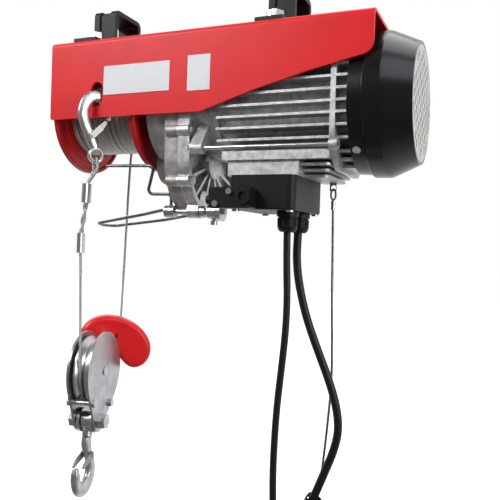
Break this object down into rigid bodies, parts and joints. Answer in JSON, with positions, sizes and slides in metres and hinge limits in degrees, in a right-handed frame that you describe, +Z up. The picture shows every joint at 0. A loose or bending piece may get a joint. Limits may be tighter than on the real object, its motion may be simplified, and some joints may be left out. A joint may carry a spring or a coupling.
{
  "type": "electric wire rope hoist",
  "caption": "Small electric hoist in a folded red bracket, with rope drum, geared motor, limit lever, pulley block with load hook, and a hand control on a cable.",
  "frame": {"origin": "middle of the bracket's top face, where the beam rests on it", "axes": "+X along the drum and motor axis towards the fan, +Y to the back, +Z up"},
  "size_m": [0.3966, 0.1512, 0.8154],
  "materials": {
    "red_paint": "glossy powder coat",
    "drum_red": "glossy enamel",
    "black_plastic": "satin moulding",
    "black_gloss": "gloss moulding",
    "zinc": "bright zinc plate",
    "steel": "machined steel",
    "rope_steel": "stranded galvanised wire",
    "cast_aluminium": "blasted casting",
    "gearbox_casting": "dull sand casting",
    "dark_wire": "dark plated wire",
    "copper": "enamelled windings round a steel core",
    "cable_black": "black rubber sheath",
    "label_white": "blank enamel plate",
    "grille": "light painted sheet",
    "red_plastic": "gloss moulding",
    "green_plastic": "gloss moulding"
  },
  "bodies": {
    "hoist_frame": {"bracket": "red_paint", "beam_saddles": "black_plastic", "saddle_bolts": "zinc", "blank_labels": "label_white", "gear_housing": "gearbox_casting", "gear_flange": "cast_aluminium", "motor_front_shield": "cast_aluminium", "motor_housing": "cast_aluminium", "motor_rear_shield": "cast_aluminium", "tie_rods": "zinc", "stator": "copper", "fan_cover": "black_gloss", "fan_grille": "grille", "terminal_base": "black_plastic", "terminal_tray": "black_plastic", "run_capacitor": "black_gloss", "limit_switch": "black_plastic", "cable_glands": "black_plastic", "shaft_bearings": "steel", "case_screws": "zinc", "drum_side_rope": "rope_steel", "dead_end_rope": "rope_steel", "rope_end_loop": "rope_steel", "rope_ferrules": "steel", "rope_end_hook": "zinc", "mains_cable": "cable_black", "control_cable": "cable_black", "mains_coil": "cable_black", "control_coil": "cable_black", "mains_plug": "cable_black", "safety_rope": "dark_wire", "safety_tab": "zinc", "cable_ties": "black_plastic", "pendant_front": "black_gloss", "pendant_back": "black_gloss"},
    "drum": {"rope_drum": "drum_red", "wound_rope": "rope_steel", "drum_shaft": "steel", "drum_gear": "steel"},
    "layshaft": {"layshaft_pinion": "steel", "layshaft_gear": "steel"},
    "rotor": {"rotor_core": "steel", "motor_shaft": "steel", "brake_disc": "steel", "cooling_fan": "black_plastic"},
    "limit_lever": {"lever_shaft": "steel", "lever_fittings": "zinc", "lever_wires": "dark_wire"},
    "rope_latch": {"rope_hook_latch": "zinc"},
    "block": {"block_side_plates": "zinc", "block_bolts": "zinc", "sheave_rope": "rope_steel"},
    "sheave_wheel": {"sheave": "steel"},
    "swing_eye": {"hook_swivel_eye": "zinc"},
    "swivel_hook": {"load_hook": "zinc"},
    "load_latch": {"load_hook_latch": "zinc"},
    "weight": {"stop_weight": "red_plastic"},
    "up_key": {"up_button": "green_plastic"},
    "down_key": {"down_button": "green_plastic"},
    "stop_key": {"stop_button": "red_plastic"}
  },
  "joints": [
    {"name": "drum_spin", "type": "hinge", "parent": "hoist_frame", "child": "drum", "pos_m": [0, 0, -0.0735], "axis": [1, 0, 0], "range_deg": [-1700, 255]},
    {"name": "block_lift", "type": "slide", "parent": "hoist_frame", "child": "block", "axis": [0, 0, 1], "range_m": [-0.6, 0.09], "deforming": ["drum_side_rope", "dead_end_rope"]},
    {"name": "sheave_spin", "type": "hinge", "parent": "block", "child": "sheave_wheel", "pos_m": [-0.11, -0.027, -0.358], "axis": [0.9763, 0.2164, 0], "range_deg": [-960, 150]},
    {"name": "layshaft_spin", "type": "hinge", "parent": "hoist_frame", "child": "layshaft", "pos_m": [0, 0, -0.1275], "axis": [1, 0, 0], "range_deg": [-1280, 8510]},
    {"name": "motor_spin", "type": "hinge", "parent": "hoist_frame", "child": "rotor", "pos_m": [0, 0, -0.0735], "axis": [1, 0, 0], "range_deg": [-68100, 10300]},
    {"name": "stop_weight_lift", "type": "slide", "parent": "block", "child": "weight", "axis": [0, 0, 1], "range_m": [0, 0.02]},
    {"name": "load_hook_swing", "type": "hinge", "parent": "block", "child": "swing_eye", "pos_m": [-0.10757, -0.03796, -0.41082], "axis": [0.9763, 0.2164, 0], "range_deg": [-40, 40]},
    {"name": "load_hook_swivel", "type": "hinge", "parent": "swing_eye", "child": "swivel_hook", "pos_m": [-0.10757, -0.03796, -0.41082], "axis": [-0.045, 0.203, 0.9781], "continuous": true},
    {"name": "load_latch_hinge", "type": "hinge", "parent": "swivel_hook", "child": "load_latch", "pos_m": [-0.10704, -0.03932, -0.44885], "axis": [0.9831, 0.183, 0.0073], "range_deg": [0, 40], "stiffness_Nm_per_rad": 0.02, "springref_deg": -22.92},
    {"name": "rope_latch_hinge", "type": "hinge", "parent": "hoist_frame", "child": "rope_latch", "pos_m": [-0.09352, -0.06748, -0.103], "axis": [0.829, -0.5592, 0], "range_deg": [0, 15], "stiffness_Nm_per_rad": 0.02, "springref_deg": -22.92},
    {"name": "limit_lever_hinge", "type": "hinge", "parent": "hoist_frame", "child": "limit_lever", "pos_m": [0, -0.027, -0.179], "axis": [1, 0, 0], "range_deg": [0, 12], "stiffness_Nm_per_rad": 0.1, "springref_deg": -17.19},
    {"name": "up_button_press", "type": "slide", "parent": "hoist_frame", "child": "up_key", "axis": [0, 1, 0], "range_m": [0, 0.003], "stiffness_N_per_m": 600, "springref_m": -0.001},
    {"name": "down_button_press", "type": "slide", "parent": "hoist_frame", "child": "down_key", "axis": [0, 1, 0], "range_m": [0, 0.003], "stiffness_N_per_m": 600, "springref_m": -0.001},
    {"name": "stop_button_press", "type": "slide", "parent": "hoist_frame", "child": "stop_key", "axis": [0, 1, 0], "range_m": [0, 0.004], "stiffness_N_per_m": 600, "springref_m": -0.001}
  ],
  "couplings": [
    {"joint": "block_lift", "follows": "drum_spin", "m_per_rad": 0.020175},
    {"joint": "sheave_spin", "follows": "drum_spin", "ratio": 0.56042},
    {"joint": "layshaft_spin", "follows": "drum_spin", "ratio": -5},
    {"joint": "motor_spin", "follows": "drum_spin", "ratio": 40}
  ]
}
